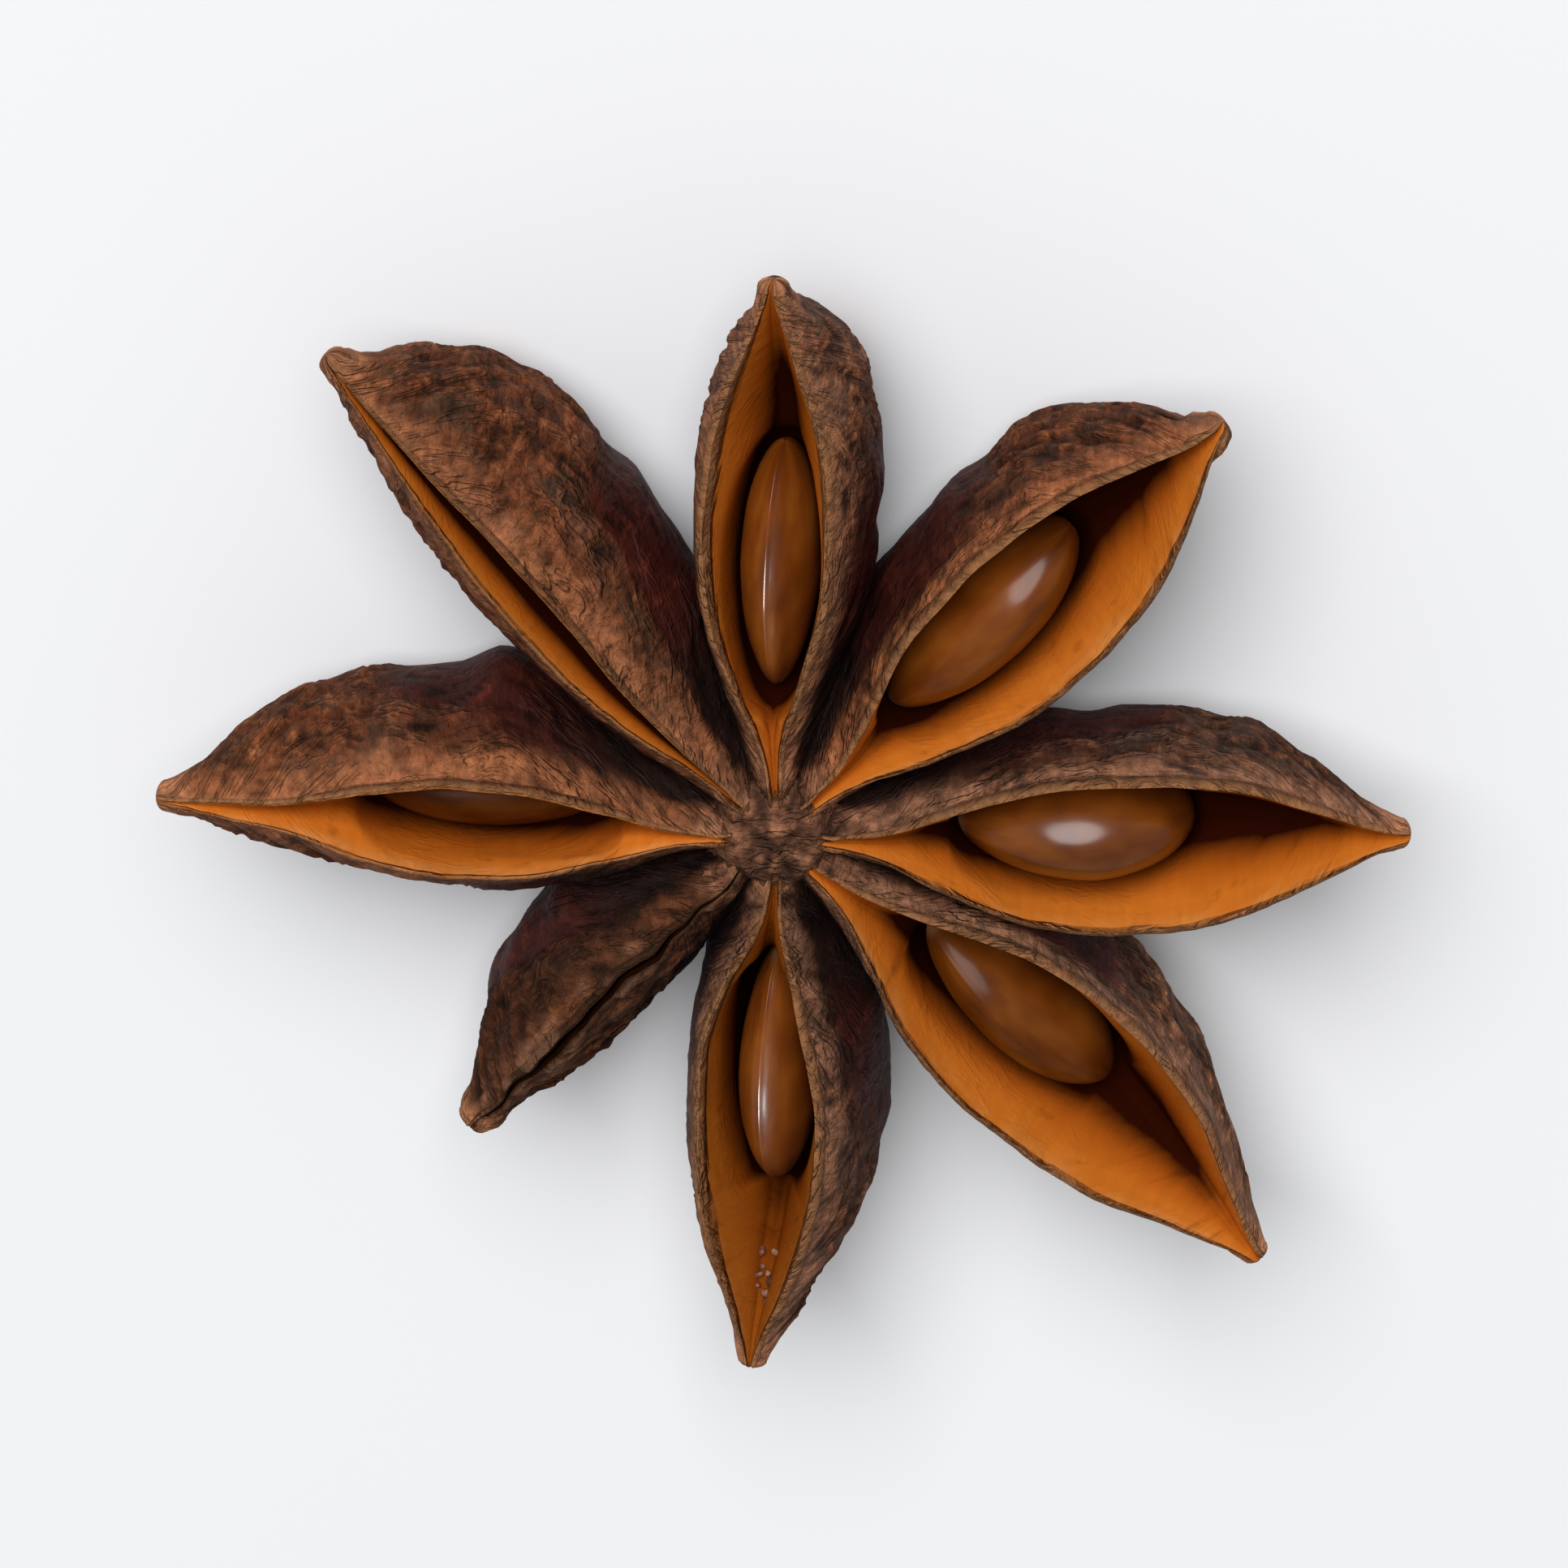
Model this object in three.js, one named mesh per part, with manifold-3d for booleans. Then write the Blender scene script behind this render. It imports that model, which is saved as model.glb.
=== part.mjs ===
// A dried star anise pod: eight woody, boat-shaped follicles around a short central column.
// Six follicles have split wide enough along their upper seam to show the seed that lies in
// each. Millimetres, +Z up. The pod stands on the flat spots of its keels.
import * as THREE from 'three';
import { mergeVertices } from 'three/addons/utils/BufferGeometryUtils.js';
import Module from 'manifold-3d';

const wasm = await Module();
wasm.setup();

// ---- driving dimensions ----------------------------------------------------------------

const SEAM_HEIGHT = 7.6; // the plane of the upper seams, above the ground
const ROOT_RADIUS = 0.8; // where a follicle starts, inside the column
const LIP = 0.26; // width of the husk's bevelled edge along the split
const LIP_DROP = 0.34; // how far the bevel's outer edge lies below its inner edge
const GROOVE_DEPTH = 3.1; // from the seam down to the line where the two inner faces meet
const GROOVE_ROUNDNESS = 1.25; // 1 is a straight-sided groove, 2 a parabola
const WIDE_GAPE = 2; // a follicle with a much smaller gape has a shallower groove
const SEED_HALF_WIDTH = 1.5;
const SEED_HALF_HEIGHT = 2.1;
const SEED_DEPTH = 2.35; // the seed's middle, below the seam
const SEED_TAPER = 0.1;
const SEED_GAP = 0.3; // clear space round a seed in its pocket
const POCKET_WIDTH = { least: 0.12, most: 0.98 }; // shares of the gape
const POCKET_EDGE = 0.45; // the least depth of a pocket's edge, as a share of the groove's
const THIN_END = 0.35; // the share of the lip and groove that is left where a split closes
const TIP_HALF_WIDTH = 0.42; // a follicle ends in a blunt knob
const KNOB_LENGTH = 0.15;
const ROLLED_FROM = 0.35; // the share of its length from which a follicle has its whole roll

// The outside of a section curves from the lip over a shoulder and a belly down to the keel.
// Spread and width are shares of the half width, and drops are shares of the depth.
const SHOULDER = { spread: 1.9, drop: 0.38 };
const BELLY = { width: 0.82, drop: 0.93 };
const POCKET_SQUARENESS = 0.6; // 1 is a round floor, less is flatter

// The wrinkles on the husk are three waves, and each follicle has its own phase of them.
const RELIEF = 0.24;
const RELIEF_FROM = { none: 0.08, full: 0.5 }; // shares of the way from the lip to the keel
const WRINKLES = [
  { height: 0.5, along: 1.9, across: 3.1, phase: 1 },
  { height: 0.3, along: 3.1, across: -5.2, phase: 2.3 },
  { height: 0.2, along: 0.9, across: 7.7, phase: 4.1 },
];
const PHASE_STEP = 2.4;
const HUMP = { radius: 7.6, spread: 2.1, across: 0.42, thickness: 0.3 };

// Without a seed, a follicle's rings are spaced as if it had one: shares of the reach.
const SEEDLESS = { middle: 0.5, length: 0.4 };
const LENGTH_STEPS = { stem: 4, pocket: 10, beak: 7 };
const OUTER_STEPS = 12;
const INNER_STEPS = 12; // a multiple of 4, so that a point lies on each edge of the pocket
const SEED_STEPS = { around: 12, along: 10 };

// One line for each follicle, anticlockwise. Reach is from the column's axis to the beak's tip.
// The gape is half of the split's width, and roll turns the split towards the next follicle.
// Sway moves the middle of the follicle towards the next one, and lift raises the tip. Girth
// makes a seed and its pocket thicker, slim makes them narrower from side to side, and sink
// sets them deeper. Shut is how much of the gape is gone towards the tip, and hump is a swelling
// low on the side towards the follicle before.
const FOLLICLES = [
  { side: 'east', azimuth: 1.2, reach: 18.4, halfWidth: 2.75, depth: 6.7, gape: 2.65, roll: -6,
    sway: -0.6, lift: 0.2, seedAt: 8.9, seedLength: 7.0, girth: 1.18 },
  { side: 'north_east', azimuth: 48, reach: 18.6, halfWidth: 2.75, depth: 7.5, gape: 2.52, roll: -10,
    sway: -0.2, lift: 0.1, seedAt: 8.8, seedLength: 7.8 },
  { side: 'north', azimuth: 88.6, reach: 18.1, halfWidth: 2.7, depth: 7.75, gape: 1.8, roll: 14,
    sway: 0, lift: 0.1, seedAt: 8.1, seedLength: 8.0, slim: 0.76 },
  { side: 'north_west', azimuth: 128.6, reach: 19.7, halfWidth: 2.75, depth: 7.5, gape: 0.68, roll: 16,
    sway: 0.3, lift: -1.2, shut: 0.4 },
  { side: 'west', azimuth: 175.6, reach: 17.9, halfWidth: 2.9, depth: 7.7, gape: 1.5, roll: 0,
    sway: 0.45, lift: 0.1, seedAt: 8.4, seedLength: 7.4, girth: 0.85, sink: 1.0, shut: 0.6,
    hump: 0.9 },
  { side: 'south_west', azimuth: 229.3, reach: 13.8, halfWidth: 2.15, depth: 6.3, gape: 0.12, roll: 4,
    sway: -0.3, lift: -1.2 },
  { side: 'south', azimuth: 269.8, reach: 18.3, halfWidth: 3.0, depth: 7.8, gape: 1.82, roll: -18,
    sway: 0.2, lift: 0.1, seedAt: 8.9, seedLength: 8.0, slim: 0.76 },
  { side: 'south_east', azimuth: 315.7, reach: 20.4, halfWidth: 2.9, depth: 7.7, gape: 2.75, roll: -7,
    sway: 0.35, lift: 0.1, seedAt: 9.9, seedLength: 7.5 },
];

// Shares of a follicle's largest half width, depth and gape, evenly spaced from root to tip.
const WIDTH_SHARES = [0.3, 0.52, 0.76, 0.94, 1, 0.97, 0.82, 0.5, 0.13];
const DEPTH_SHARES = [0.62, 0.74, 0.88, 0.97, 1, 0.98, 0.87, 0.53, 0.1];
const GAPE_SHARES = [0.04, 0.15, 0.53, 0.88, 1, 0.97, 0.8, 0.42, 0.05];
const SHUTTING = { from: 0.5, to: 0.85 }; // where a partly shut follicle narrows

// The column's outline from its foot, a broken stalk, up to its low crown: radius, height
// above the seam plane.
const COLUMN_OUTLINE = [
  [0, -6.3], [0.9, -6.35], [1.2, -6.1], [1.45, -5.8], [2.05, -5.3], [2.35, -4], [2.3, -1.6],
  [1.95, -0.35], [1.68, 0.06], [1.1, 0.14], [0, 0.08],
];
const COLUMN_SIDES = 24;

const GROUND = { width: 60, thickness: 10 }; // a block that cuts the keels flat
const MERGE_DISTANCE = 1e-4;
const LENGTHWISE = new THREE.Vector3(1, 0, 0);
const UPWARDS = new THREE.Vector3(0, 0, 1);

// ---- curves ----------------------------------------------------------------------------

// A smooth curve through evenly spaced values, at a share from 0 to 1 of its length.
function through(values, share) {
  const place = Math.min(Math.max(share, 0), 1) * (values.length - 1);
  const i = Math.min(Math.floor(place), values.length - 2);
  const t = place - i;
  const [a, b, c, d] = [-1, 0, 1, 2].map(
    (k) => values[Math.min(Math.max(i + k, 0), values.length - 1)]);
  return b + 0.5 * t * (c - a + t * (2 * a - 5 * b + 4 * c - d + t * (3 * (b - c) + d - a)));
}

// A cubic Bezier curve through one coordinate of its four control points.
function bezier(a, b, c, d, t) {
  const s = 1 - t;
  return s * s * s * a + 3 * s * s * t * b + 3 * s * t * t * c + t * t * t * d;
}

// The height of the wrinkles on the husk, from -1 to 1.
function wrinkle(radius, across, phase) {
  return WRINKLES.reduce((sum, wave) => sum
    + wave.height * Math.sin(wave.along * radius + wave.across * across + wave.phase * phase), 0);
}

// A round swelling that fades away from its middle, from 1 to 0.
function bump(distance, spread) {
  return Math.exp(-((distance / spread) ** 2));
}

// ---- a follicle ------------------------------------------------------------------------

// The depth of the groove between the two inner faces, at a distance from its middle.
function grooveDepth(size, across) {
  return size.groove * (1 - Math.pow(Math.min(across / size.gape, 1), GROOVE_ROUNDNESS));
}

// The pocket's size at a radius, as a share of its size at the seed's middle.
function pocketShare(follicle, radius) {
  const along = (radius - follicle.seedAt) / (follicle.seedLength / 2 + SEED_GAP);
  return Math.sqrt(Math.max(0, 1 - along * along));
}

// The sizes of a follicle's cross-section at a radius.
function sectionSizes(follicle, radius) {
  const share = (radius - ROOT_RADIUS) / (follicle.reach - ROOT_RADIUS);
  const { girth = 1, slim = 1, sink = 0, shut = 0, hump = 0 } = follicle;
  const narrowing = shut * THREE.MathUtils.smoothstep(share, SHUTTING.from, SHUTTING.to);
  const openness = through(GAPE_SHARES, share) * (1 - narrowing);
  const size = {
    share,
    width: Math.max(follicle.halfWidth * through(WIDTH_SHARES, share), TIP_HALF_WIDTH),
    depth: follicle.depth * through(DEPTH_SHARES, share),
    gape: follicle.gape * openness,
    lip: LIP * Math.min(1, THIN_END + openness),
    groove: GROOVE_DEPTH * openness * Math.min(1, THIN_END + follicle.gape / WIDE_GAPE),
  };
  const open = follicle.seedAt ? pocketShare(follicle, radius) : 0;
  const halfWidth = (SEED_HALF_WIDTH * girth * slim + SEED_GAP) * open;
  const { least, most } = POCKET_WIDTH;
  size.pocket = Math.max(Math.min(halfWidth, most * size.gape), least * size.gape);
  size.edge = Math.max(grooveDepth(size, size.pocket), POCKET_EDGE * size.groove * open);
  size.bulge = Math.max(halfWidth, size.pocket);
  size.floor = open > 0
    ? Math.max(size.edge, SEED_DEPTH + sink + (SEED_HALF_HEIGHT * girth + SEED_GAP) * open)
    : size.groove;
  size.hump = hump * bump(radius - HUMP.radius, HUMP.spread);
  return size;
}

// A point of the husk's outside. Across runs from -1 at one lip, over 0 at the keel, to 1.
function outsidePoint(size, across, radius, phase) {
  const down = 1 - Math.abs(across);
  const lipEdge = size.gape + size.lip;
  const shoulder = lipEdge + SHOULDER.spread * (size.width - lipEdge);
  const x = bezier(lipEdge, shoulder, BELLY.width * size.width, 0, down);
  const lipDrop = LIP_DROP * size.lip / LIP;
  const z = -bezier(lipDrop, SHOULDER.drop * size.depth, BELLY.drop * size.depth, size.depth, down);
  const point = new THREE.Vector2(Math.sign(across) * x, z);
  const outward = new THREE.Vector2(point.x, point.y + size.depth / 2).normalize();
  const height = RELIEF * THREE.MathUtils.smoothstep(down, RELIEF_FROM.none, RELIEF_FROM.full)
    * Math.min(1, size.width) * wrinkle(radius, across, phase);
  const hump = size.hump * bump(across - HUMP.across, HUMP.thickness);
  return point.addScaledVector(outward, height + hump);
}

// A point of the inside, which slopes from a lip to the pocket's edge and then rounds its floor.
function insidePoint(size, across) {
  const down = 1 - Math.abs(across);
  let x, z;
  if (down <= 0.5) {
    x = THREE.MathUtils.lerp(size.gape, size.pocket, Math.pow(2 * down, GROOVE_ROUNDNESS));
    z = -size.edge * 2 * down;
  } else {
    const turn = (2 * down - 1) * Math.PI / 2;
    x = size.bulge * Math.pow(Math.cos(turn), POCKET_SQUARENESS);
    z = -THREE.MathUtils.lerp(size.edge, size.floor, Math.sin(turn));
  }
  return new THREE.Vector2(Math.sign(across) * x, z);
}

// Turns a section about the seed's middle, by more and more of the follicle's roll.
function rolled(point, follicle, share) {
  const angle = THREE.MathUtils.degToRad(follicle.roll)
    * THREE.MathUtils.smoothstep(share, 0, ROLLED_FROM);
  return point.rotateAround(new THREE.Vector2(0, -SEED_DEPTH), angle);
}

// How far a section lies sideways of and above the straight line from the column.
function lineOffset(follicle, share) {
  return new THREE.Vector2(-follicle.sway * Math.sin(Math.PI * share), follicle.lift * share * share);
}

function ring(follicle, radius, phase) {
  const size = sectionSizes(follicle, radius);
  const offset = lineOffset(follicle, size.share);
  const points = [];
  for (let i = 0; i <= OUTER_STEPS; i++)
    points.push(outsidePoint(size, (2 * i) / OUTER_STEPS - 1, radius, phase));
  for (let i = 0; i <= INNER_STEPS; i++)
    points.push(insidePoint(size, 1 - (2 * i) / INNER_STEPS));
  return points
    .map((p) => rolled(p, follicle, size.share).add(offset))
    .map((p) => new THREE.Vector3(radius, -p.x, p.y));
}

// The radii of a follicle's rings: even along the stem and beak, closer at a pocket's ends.
function ringRadii(follicle) {
  const { stem, pocket, beak } = LENGTH_STEPS;
  const half = (follicle.seedLength ?? SEEDLESS.length * follicle.reach) / 2 + SEED_GAP;
  const middle = follicle.seedAt ?? SEEDLESS.middle * follicle.reach;
  const radii = [];
  for (let i = 0; i < stem; i++)
    radii.push(THREE.MathUtils.lerp(ROOT_RADIUS, middle - half, i / stem));
  for (let i = 0; i <= pocket; i++)
    radii.push(middle - half * Math.cos((Math.PI * i) / pocket));
  for (let i = 1; i <= beak; i++)
    radii.push(THREE.MathUtils.lerp(middle + half, follicle.reach, i / beak));
  return radii;
}

// A closed mesh through rings of points, with a fan of triangles over each end.
function loft(rings, firstCap, lastCap) {
  const count = rings[0].length;
  const points = [...rings.flat(), firstCap, lastCap];
  const capIndex = points.length - 2;
  const index = [];
  for (let i = 0; i < count; i++) {
    const next = (i + 1) % count;
    for (let row = 0; row < rings.length - 1; row++) {
      const [a, b] = [row * count + i, row * count + next];
      index.push(a, a + count, b, b, a + count, b + count);
    }
    const last = (rings.length - 1) * count;
    index.push(i, next, capIndex, last + next, last + i, capIndex + 1);
  }
  return new THREE.BufferGeometry().setFromPoints(points).setIndex(index);
}

function follicleGeometry(follicle, number) {
  const radii = ringRadii(follicle);
  const rings = radii.map((radius) => ring(follicle, radius, PHASE_STEP * number));
  const start = new THREE.Vector3(radii[0], 0, -follicle.depth * DEPTH_SHARES[0] / 2);
  const end = rings.at(-1)
    .reduce((sum, p) => sum.add(p), new THREE.Vector3())
    .divideScalar(rings[0].length);
  return loft(rings, start, end.setX(follicle.reach + KNOB_LENGTH))
    .rotateZ(THREE.MathUtils.degToRad(follicle.azimuth));
}

// ---- a seed ----------------------------------------------------------------------------

// A flat oval, standing on its edge, a little narrower at the end towards the column.
function seedGeometry({ seedLength, girth = 1, slim = 1 }) {
  const geometry = new THREE.SphereGeometry(1, SEED_STEPS.around, SEED_STEPS.along)
    .rotateZ(-Math.PI / 2);
  const places = geometry.attributes.position;
  for (let i = 0; i < places.count; i++) {
    const along = places.getX(i);
    const swell = girth * (1 + SEED_TAPER * (along - along * along));
    places.setXYZ(i, along * seedLength / 2, places.getY(i) * SEED_HALF_WIDTH * slim * swell,
      places.getZ(i) * SEED_HALF_HEIGHT * swell);
  }
  return geometry;
}

function placeSeed(mesh, follicle) {
  const share = (follicle.seedAt - ROOT_RADIUS) / (follicle.reach - ROOT_RADIUS);
  const offset = lineOffset(follicle, share);
  const azimuth = THREE.MathUtils.degToRad(follicle.azimuth);
  const tilt = THREE.MathUtils.degToRad(-follicle.roll);
  const sunk = new THREE.Vector3(0, 0, -(follicle.sink ?? 0)).applyAxisAngle(LENGTHWISE, tilt);
  const place = new THREE.Vector3(follicle.seedAt, -offset.x, offset.y - SEED_DEPTH).add(sunk);
  mesh.position.copy(place.applyAxisAngle(UPWARDS, azimuth));
  mesh.rotation.set(tilt, 0, azimuth, 'ZYX');
}

// ---- joining and cutting ---------------------------------------------------------------

function toSolid(geometry) {
  geometry.deleteAttribute('normal');
  geometry.deleteAttribute('uv');
  const merged = mergeVertices(geometry, MERGE_DISTANCE);
  const corners = [...merged.index.array];
  const kept = corners.filter((_, i) => {
    const [a, b, c] = corners.slice(i - (i % 3), i - (i % 3) + 3);
    return a !== b && b !== c && c !== a;
  });
  return new wasm.Manifold(new wasm.Mesh({
    numProp: 3, vertProperties: merged.attributes.position.array, triVerts: new Uint32Array(kept),
  }));
}

function toGeometry(solid) {
  const mesh = solid.getMesh();
  const geometry = new THREE.BufferGeometry();
  geometry.setAttribute('position', new THREE.BufferAttribute(mesh.vertProperties, 3));
  geometry.setIndex(new THREE.BufferAttribute(mesh.triVerts, 1));
  geometry.computeVertexNormals();
  return geometry;
}

function podGeometry() {
  const outline = COLUMN_OUTLINE.map(([radius, height]) => new THREE.Vector2(radius, height));
  const column = new THREE.LatheGeometry(outline, COLUMN_SIDES).rotateX(Math.PI / 2);
  const whole = FOLLICLES.map(follicleGeometry).map(toSolid)
    .reduce((sum, part) => sum.add(part), toSolid(column));
  const ground = new THREE.BoxGeometry(GROUND.width, GROUND.width, GROUND.thickness)
    .translate(0, 0, -SEAM_HEIGHT - GROUND.thickness / 2);
  return toGeometry(whole.subtract(toSolid(ground)));
}

// ---- the pod and its seeds -------------------------------------------------------------

const huskMaterial = new THREE.MeshStandardMaterial({ color: 0x5c4130, roughness: 0.85, metalness: 0 });
const seedMaterial = new THREE.MeshStandardMaterial({ color: 0x7a4415, roughness: 0.25, metalness: 0 });

const starAnise = new THREE.Group();

const pod = new THREE.Mesh(podGeometry(), huskMaterial);
pod.name = 'pod';
starAnise.add(pod);

for (const follicle of FOLLICLES.filter((f) => f.seedLength)) {
  const seed = new THREE.Mesh(seedGeometry(follicle), seedMaterial);
  seed.name = `seed_${follicle.side}`;
  placeSeed(seed, follicle);
  starAnise.add(seed);
}

// The part's origin is on the ground, under the middle of the pod's box.
const box = new THREE.Box3().setFromObject(pod, true);
const middle = box.getCenter(new THREE.Vector3());
starAnise.position.set(-middle.x, -middle.y, -box.min.z);

export default starAnise;
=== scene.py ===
"""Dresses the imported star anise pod: a wrinkled husk, six glossy seeds and a few crumbs.

Shapes are worked out in millimetres round the pod's central axis, with the plane of the upper
seams at height 0, as in the solids. At the end they are moved into the frame, in metres.
"""
import itertools
import math
from types import SimpleNamespace

import bmesh
import bpy
import numpy as np
from mathutils import Matrix, Vector
from mathutils.kdtree import KDTree


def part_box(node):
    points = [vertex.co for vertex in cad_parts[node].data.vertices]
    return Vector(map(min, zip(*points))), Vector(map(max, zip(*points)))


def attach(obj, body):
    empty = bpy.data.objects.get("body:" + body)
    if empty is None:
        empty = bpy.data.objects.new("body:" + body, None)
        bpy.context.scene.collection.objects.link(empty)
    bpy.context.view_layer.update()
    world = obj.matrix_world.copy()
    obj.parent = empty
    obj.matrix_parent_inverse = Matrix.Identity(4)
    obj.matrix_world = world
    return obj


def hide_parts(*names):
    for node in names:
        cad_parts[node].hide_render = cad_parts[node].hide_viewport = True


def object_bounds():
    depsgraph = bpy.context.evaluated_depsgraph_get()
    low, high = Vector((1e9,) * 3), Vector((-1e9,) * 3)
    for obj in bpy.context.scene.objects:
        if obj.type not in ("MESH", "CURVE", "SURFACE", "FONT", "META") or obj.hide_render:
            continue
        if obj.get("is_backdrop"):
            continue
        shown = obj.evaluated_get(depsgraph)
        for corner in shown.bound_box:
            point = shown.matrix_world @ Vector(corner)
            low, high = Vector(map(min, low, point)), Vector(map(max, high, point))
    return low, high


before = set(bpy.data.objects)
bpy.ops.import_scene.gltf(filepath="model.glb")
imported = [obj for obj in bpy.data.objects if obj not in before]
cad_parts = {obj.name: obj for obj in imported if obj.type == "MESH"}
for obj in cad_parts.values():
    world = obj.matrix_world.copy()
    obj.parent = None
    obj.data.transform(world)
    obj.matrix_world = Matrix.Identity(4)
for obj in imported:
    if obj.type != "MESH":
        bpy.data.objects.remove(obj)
cad_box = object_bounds()

# ---- driving dimensions, in millimetres, as in the solids -----------------------------------

SEAM_HEIGHT = 7.6
ROOT_RADIUS = 0.8
LIP = 0.26
LIP_DROP = 0.34
NARROW_DROP = 0.45  # the share of that drop along a nearly closed split
GROOVE_DEPTH = 3.1
GROOVE_ROUNDNESS = 1.25
WIDE_GAPE = 2
SEED_HALF_WIDTH = 1.5
SEED_HALF_HEIGHT = 2.1
SEED_DEPTH = 2.35
SEED_TAPER = 0.1
SEED_GAP = 0.3
POCKET_LEAST = 0.12
POCKET_MOST = 0.98
POCKET_EDGE = 0.45
POCKET_SQUARENESS = 0.6
POCKET_SOFTNESS = 0.25
RELAXING_ROUNDS = 10
THIN_END = 0.35
TIP_HALF_WIDTH = 0.42
ROLLED_FROM = 0.35
SHOULDER_SPREAD = 1.9
SHOULDER_DROP = 0.38
BELLY_WIDTH = 0.82
BELLY_DROP = 0.93
RELIEF = 0.15
RELIEF_NONE = 0.08
RELIEF_FULL = 0.5
WRINKLES = [(0.5, 1.9, 3.1, 1.0), (0.3, 3.1, -5.2, 2.3), (0.2, 0.9, 7.7, 4.1)]
PHASE_STEP = 2.4
FACE_START = 0.8  # from the lip down to the dark flank, 3 mm from the axis
FACE_WIDENING = 0.24  # and how much more for each mm outwards
FOLD = 0.26  # height of the crest between a face and its flank
HUMP_RADIUS = 7.6
HUMP_SPREAD = 2.1
HUMP_ACROSS = 0.42
HUMP_THICKNESS = 0.3
SEEDLESS_MIDDLE = 0.5
SEEDLESS_LENGTH = 0.4

WIDTH_SHARES = [0.3, 0.52, 0.76, 0.94, 1, 0.97, 0.82, 0.5, 0.13]
DEPTH_SHARES = [0.62, 0.74, 0.88, 0.97, 1, 0.98, 0.87, 0.53, 0.1]
GAPE_SHARES = [0.04, 0.15, 0.53, 0.88, 1, 0.97, 0.8, 0.42, 0.05]
SHUT_FROM = 0.5
SHUT_TO = 0.85
COLUMN_OUTLINE = [
    (0, -6.3), (0.9, -6.35), (1.2, -6.1), (1.45, -5.8), (2.05, -5.3), (2.35, -4), (2.3, -1.6),
    (1.75, -0.5), (1.36, -0.02), (0.95, 0.06), (0, 0.0),
]


def follicle(side, azimuth, reach, half_width, depth, gape, roll, sway, lift,
             seed_at=None, seed_length=None, girth=1.0, slim=1.0, sink=0.0, shut=0.0, hump=0.0,
             glow=1.0, clear=1.0, beak=1.0, hem=0.0, amber=1.0, gloss=0.35, line=0.0, warmth=0.5, light=1.0,
             rough=1.0, crease=0.0, crust=0.0, knob=0.1):
    """One follicle's sizes and looks. Inside: its painted light and shade (glow), how far down the painted light
    reaches before painted shade (clear, and beak past the seed), and how wide its pale rim is (hem). On its seed:
    its painted light and shade (amber), how glossy it is and whether a fine raised line runs along it. Outside: its
    colour (warmth), its painted light and shade (light), relief (rough), crest line (crease), crusted seam (crust)
    and its tip's swelling (knob)."""
    return SimpleNamespace(**locals())


FOLLICLES = [
    follicle("east", 1.2, 18.4, 2.75, 6.7, 2.65, -6, -0.6, 0.2, 8.9, 7.0, girth=1.18,
             hem=0.1, gloss=0.8, warmth=0.15, light=0.52),
    follicle("north_east", 48, 18.6, 2.75, 7.5, 2.52, -10, -0.2, 0.1, 8.8, 7.8,
             hem=0.08, amber=1.2, gloss=0.45, warmth=0.9, light=0.55, knob=0.25),
    follicle("north", 88.6, 18.1, 2.7, 7.75, 1.8, 14, 0, 0.1, 8.1, 8.0, slim=0.76,
             glow=0.95, clear=1.35, hem=0.5, amber=1.4, line=1.0, warmth=0.35, light=0.9),
    follicle("north_west", 128.6, 19.7, 2.75, 7.5, 0.68, 16, 0.3, -1.2, shut=0.4,
             glow=0.9, clear=0.75, warmth=0.75, light=0.64, crease=0.4),
    follicle("west", 175.6, 17.9, 2.9, 7.7, 1.5, 0, 0.45, 0.1, 8.4, 7.4,
             girth=0.85, sink=1.0, shut=0.6, hump=0.9, glow=1.15,
             clear=1.75, amber=0.62, gloss=0.02, warmth=0.8, light=0.7, crease=1.0),
    follicle("south_west", 229.3, 13.8, 2.15, 6.3, 0.12, 4, -0.3, -1.2,
             glow=0.04, warmth=0.9, light=0.27, rough=1.5, crust=1.0, knob=0.3),
    follicle("south", 269.8, 18.3, 3.0, 7.8, 1.82, -18, 0.2, 0.1, 8.9, 8.0, slim=0.76,
             glow=0.6, clear=1.15, beak=1.5, hem=0.35, amber=1.3, line=1.0, warmth=0.1, light=0.65),
    follicle("south_east", 315.7, 20.4, 2.9, 7.7, 2.75, -7, 0.35, 0.1, 9.9, 7.5,
             beak=1.1, hem=0.08, amber=0.9, gloss=0.18, line=0.6, warmth=0.05, light=0.9),
]

# ---- the finer mesh -------------------------------------------------------------------------

STEM_RINGS = 14
POCKET_RINGS = 40
BEAK_RINGS = 27
KNOB_RINGS = 4
KNOB_LENGTH = 0.3
OUTER_STEPS = 100
INNER_STEPS = 38
INNER_CROWDING = 1.2  # above 1, the steps inside are closer together near the rims
LIP_STEPS = 4
COLUMN_SIDES = 112
COLUMN_ROWS = 40
SEED_SIDES = 96
SEED_ROWS = 72

LAYER_STEP = 5.3  # between the follicles' places in the materials' noises
LAYER_SPREAD = 0.5  # from a follicle's keel to either lip

# ---- numbers and curves ---------------------------------------------------------------------

LATTICE = 256
DRAW = np.random.default_rng(11)
LATTICE_ORDER = DRAW.permutation(LATTICE)
LATTICE_SLOPES = DRAW.normal(size=(LATTICE, 3))
LATTICE_SLOPES /= np.linalg.norm(LATTICE_SLOPES, axis=1)[:, None]


def smoothstep(value, low, high):
    share = np.clip((value - low) / (high - low), 0, 1)
    return share * share * (3 - 2 * share)


def bump(distance, spread):
    return np.exp(-((distance / spread) ** 2))


def lerp(a, b, share):
    return a + (b - a) * share


def soft_max(a, b, softness):
    return (a + b + np.sqrt((a - b) ** 2 + softness**2)) / 2


def soft_min(a, b, softness):
    return (a + b - np.sqrt((a - b) ** 2 + softness**2)) / 2


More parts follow.
